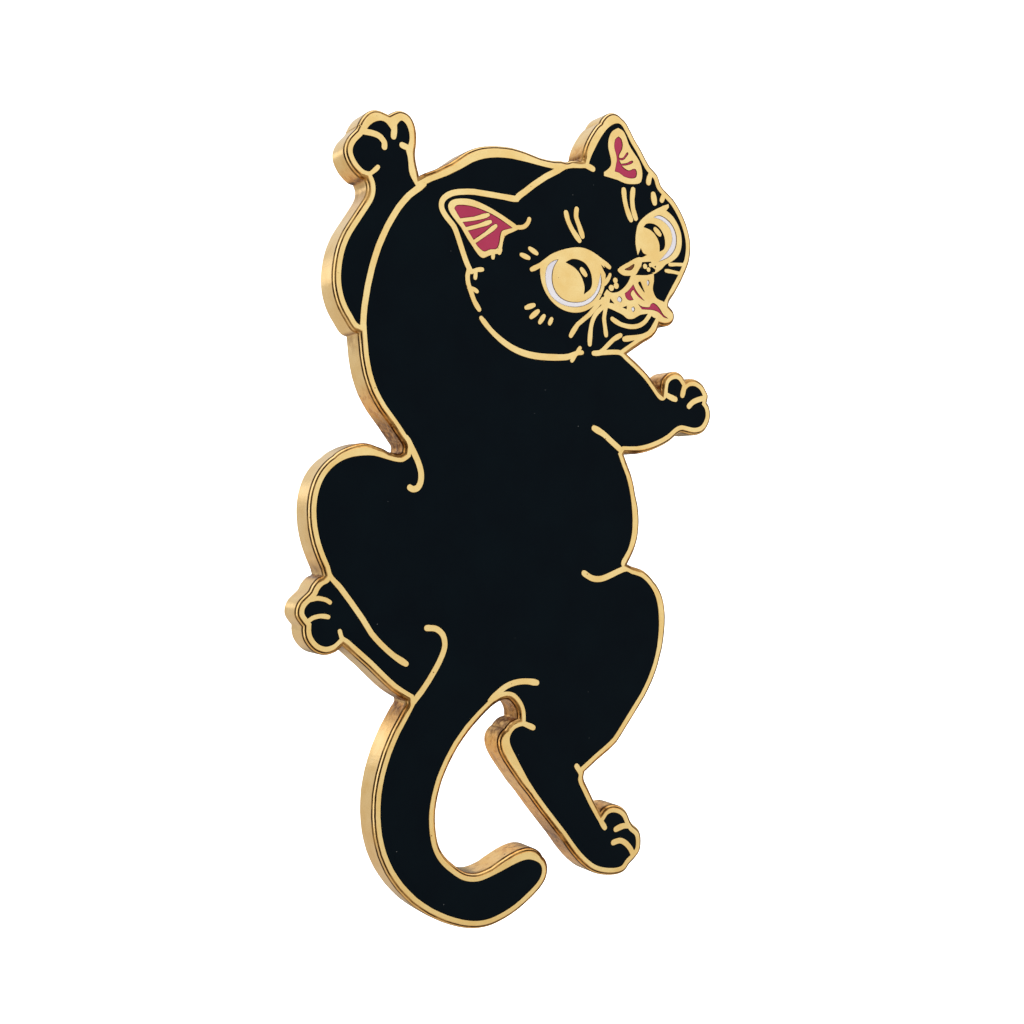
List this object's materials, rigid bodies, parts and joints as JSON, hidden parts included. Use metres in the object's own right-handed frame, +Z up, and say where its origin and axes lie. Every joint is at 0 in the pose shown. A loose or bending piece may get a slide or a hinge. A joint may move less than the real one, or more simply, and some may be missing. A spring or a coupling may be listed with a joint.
{
  "type": "enamel pin",
  "caption": "Hard enamel pin of a climbing black cat looking back over its shoulder, with pointed posts and butterfly clutches.",
  "frame": {"origin": "on the plate's back face, midway between the two posts", "axes": "+Z up as worn, the decorated front faces -Y, the posts point along +Y, +X is to the right of someone looking at the front"},
  "size_m": [0.0291, 0.0105, 0.0502],
  "materials": {
    "gold_plate": "gold plated, line tops polished flat with a fine brushed grain, edge bright",
    "black_enamel": "hard enamel polished flush, glossy",
    "pink_enamel": "hard enamel polished flush, glossy",
    "white_enamel": "hard enamel polished flush, glossy",
    "brown_enamel": "hard enamel polished flush, glossy",
    "nickel_post": "drawn wire, plated, bright",
    "solder": "dull tin solder under gold flash",
    "clutch_brass": "stamped brass, bright with fine scratches",
    "spring_leaf": "hard spring brass, satin"
  },
  "bodies": {
    "pin": {"metal_base": "gold_plate", "black_body_enamel": "black_enamel", "black_foreleg_enamel": "black_enamel", "muzzle_spots_enamel": "black_enamel", "left_pupil_enamel": "black_enamel", "right_pupil_enamel": "black_enamel", "left_eye_white_enamel": "white_enamel", "right_eye_white_enamel": "white_enamel", "left_ear_pink_enamel": "pink_enamel", "right_ear_pink_enamel": "pink_enamel", "nose_brown_enamel": "brown_enamel", "mouth_pink_enamel": "pink_enamel", "tongue_pink_enamel": "pink_enamel", "teeth_white_enamel": "white_enamel", "upper_post": "nickel_post", "lower_post": "nickel_post", "upper_solder_ring": "solder", "lower_solder_ring": "solder"},
    "upper_disc": {"upper_clutch_disc": "clutch_brass"},
    "upper_housing": {"upper_clutch_housing": "clutch_brass"},
    "upper_top_wing": {"upper_clutch_top_leaf": "spring_leaf"},
    "upper_bottom_wing": {"upper_clutch_bottom_leaf": "spring_leaf"},
    "lower_disc": {"lower_clutch_disc": "clutch_brass"},
    "lower_housing": {"lower_clutch_housing": "clutch_brass"},
    "lower_top_wing": {"lower_clutch_top_leaf": "spring_leaf"},
    "lower_bottom_wing": {"lower_clutch_bottom_leaf": "spring_leaf"}
  },
  "joints": [
    {"name": "upper_clutch_slide", "type": "slide", "parent": "pin", "child": "upper_disc", "axis": [0, 1, 0], "range_m": [0, 0.012]},
    {"name": "upper_clutch_turn", "type": "hinge", "parent": "upper_disc", "child": "upper_housing", "pos_m": [0, 0, 0.0075], "axis": [0, 1, 0], "continuous": true},
    {"name": "upper_top_squeeze", "type": "slide", "parent": "upper_housing", "child": "upper_top_wing", "axis": [0, 0, -1], "range_m": [0, 0.0007], "stiffness_N_per_m": 400},
    {"name": "upper_bottom_squeeze", "type": "slide", "parent": "upper_housing", "child": "upper_bottom_wing", "axis": [0, 0, 1], "range_m": [0, 0.0007], "stiffness_N_per_m": 400},
    {"name": "lower_clutch_slide", "type": "slide", "parent": "pin", "child": "lower_disc", "axis": [0, 1, 0], "range_m": [0, 0.012]},
    {"name": "lower_clutch_turn", "type": "hinge", "parent": "lower_disc", "child": "lower_housing", "pos_m": [0, 0, -0.0075], "axis": [0, 1, 0], "continuous": true},
    {"name": "lower_top_squeeze", "type": "slide", "parent": "lower_housing", "child": "lower_top_wing", "axis": [0, 0, -1], "range_m": [0, 0.0007], "stiffness_N_per_m": 400},
    {"name": "lower_bottom_squeeze", "type": "slide", "parent": "lower_housing", "child": "lower_bottom_wing", "axis": [0, 0, 1], "range_m": [0, 0.0007], "stiffness_N_per_m": 400}
  ],
  "couplings": [
    {"joint": "upper_bottom_squeeze", "follows": "upper_top_squeeze", "ratio": 1},
    {"joint": "lower_bottom_squeeze", "follows": "lower_top_squeeze", "ratio": 1}
  ]
}
